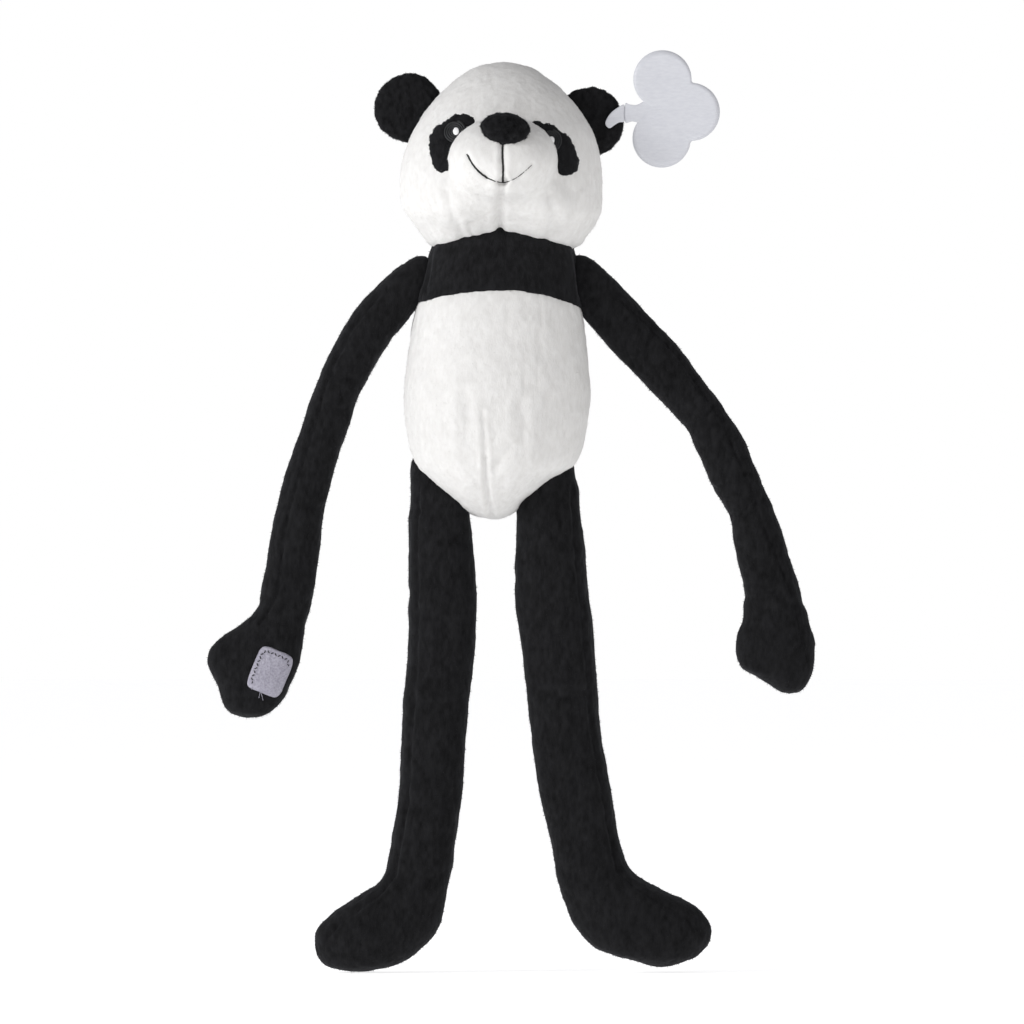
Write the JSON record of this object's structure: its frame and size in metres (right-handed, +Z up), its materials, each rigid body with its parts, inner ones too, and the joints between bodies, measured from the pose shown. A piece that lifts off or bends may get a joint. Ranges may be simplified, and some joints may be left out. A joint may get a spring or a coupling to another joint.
{
  "type": "plush panda",
  "caption": "Long-limbed plush panda with a stuffed head and torso, floppy jointed arms and legs, hook-and-loop hands and a swing tag.",
  "frame": {"origin": "middle of the torso, where a hand or a stand holds the toy", "axes": "+Z up along the toy from feet to head, +X to the toy's own left, and the toy faces -Y"},
  "size_m": [0.3607, 0.1273, 0.5497],
  "materials": {
    "black_plush": "short-pile polyester plush",
    "white_plush": "short-pile polyester plush",
    "fibre_filling": "loose polyester fibre",
    "black_thread": "embroidery thread",
    "grey_thread": "satin embroidery",
    "white_thread": "satin embroidery",
    "fastener_tape": "woven hook-and-loop tape",
    "tag_sheet": "smooth satin sheet"
  },
  "bodies": {
    "torso": {"chest_band_front": "black_plush", "chest_band_back": "black_plush", "belly_panel": "white_plush", "back_panel": "white_plush", "torso_stuffing": "fibre_filling"},
    "head": {"face_panel": "white_plush", "head_back_panel": "white_plush", "head_stuffing": "fibre_filling", "muzzle_cover": "white_plush", "muzzle_stuffing": "fibre_filling", "nose": "black_plush", "mouth_stitching": "black_thread", "right_eye_patch": "black_plush", "right_eye": "grey_thread", "right_eye_highlight": "white_thread", "left_eye_patch": "black_plush", "left_eye": "grey_thread", "left_eye_highlight": "white_thread", "right_ear_front": "black_plush", "right_ear_back": "black_plush", "left_ear_front": "black_plush", "left_ear_back": "black_plush", "tag_strap": "tag_sheet"},
    "tag": {"swing_tag": "tag_sheet"},
    "right_upper_arm": {"right_upper_arm_front": "black_plush", "right_upper_arm_back": "black_plush", "right_upper_arm_stuffing": "fibre_filling"},
    "right_forearm": {"right_forearm_front": "black_plush", "right_forearm_back": "black_plush", "right_forearm_stuffing": "fibre_filling", "right_hand_patch": "fastener_tape"},
    "right_thigh": {"right_thigh_front": "black_plush", "right_thigh_back": "black_plush", "right_thigh_stuffing": "fibre_filling"},
    "right_shin": {"right_shin_front": "black_plush", "right_shin_back": "black_plush", "right_shin_stuffing": "fibre_filling"},
    "left_upper_arm": {"left_upper_arm_front": "black_plush", "left_upper_arm_back": "black_plush", "left_upper_arm_stuffing": "fibre_filling"},
    "left_forearm": {"left_forearm_front": "black_plush", "left_forearm_back": "black_plush", "left_forearm_stuffing": "fibre_filling", "left_hand_patch": "fastener_tape"},
    "left_thigh": {"left_thigh_front": "black_plush", "left_thigh_back": "black_plush", "left_thigh_stuffing": "fibre_filling"},
    "left_shin": {"left_shin_front": "black_plush", "left_shin_back": "black_plush", "left_shin_stuffing": "fibre_filling"}
  },
  "joints": [
    {"name": "neck_nod", "type": "hinge", "parent": "torso", "child": "head", "pos_m": [0.0018, 0, 0.091], "axis": [1, 0, 0], "range_deg": [-25, 25], "stiffness_Nm_per_rad": 0.25},
    {"name": "right_shoulder", "type": "hinge", "parent": "torso", "child": "right_upper_arm", "pos_m": [-0.054, 0, 0.07], "axis": [-0.8486, 0, 0.529], "range_deg": [-50, 75]},
    {"name": "right_elbow", "type": "hinge", "parent": "right_upper_arm", "child": "right_forearm", "pos_m": [-0.102, 0, -0.007], "axis": [0.9241, 0, -0.3821], "range_deg": [-100, 35]},
    {"name": "right_hip", "type": "hinge", "parent": "torso", "child": "right_thigh", "pos_m": [-0.04, 0, -0.063], "axis": [-0.9998, 0, -0.018], "range_deg": [-60, 90]},
    {"name": "right_knee", "type": "hinge", "parent": "right_thigh", "child": "right_shin", "pos_m": [-0.038, 0, -0.174], "axis": [0.9993, 0, -0.0385], "range_deg": [-60, 95]},
    {"name": "left_shoulder", "type": "hinge", "parent": "torso", "child": "left_upper_arm", "pos_m": [0.0545, 0, 0.07], "axis": [-0.7629, 0, -0.6466], "range_deg": [-50, 75]},
    {"name": "left_elbow", "type": "hinge", "parent": "left_upper_arm", "child": "left_forearm", "pos_m": [0.124, 0, -0.012], "axis": [0.8618, 0, 0.5072], "range_deg": [-100, 35]},
    {"name": "left_hip", "type": "hinge", "parent": "torso", "child": "left_thigh", "pos_m": [0.033, 0, -0.063], "axis": [-0.9994, 0, -0.036], "range_deg": [-60, 90]},
    {"name": "left_knee", "type": "hinge", "parent": "left_thigh", "child": "left_shin", "pos_m": [0.037, 0, -0.174], "axis": [0.9949, 0, 0.1004], "range_deg": [-60, 95]},
    {"name": "tag_swing", "type": "hinge", "parent": "head", "child": "tag", "pos_m": [0.07525, 0.0028, 0.172], "axis": [0, 0, 1], "range_deg": [-75, 75]}
  ]
}
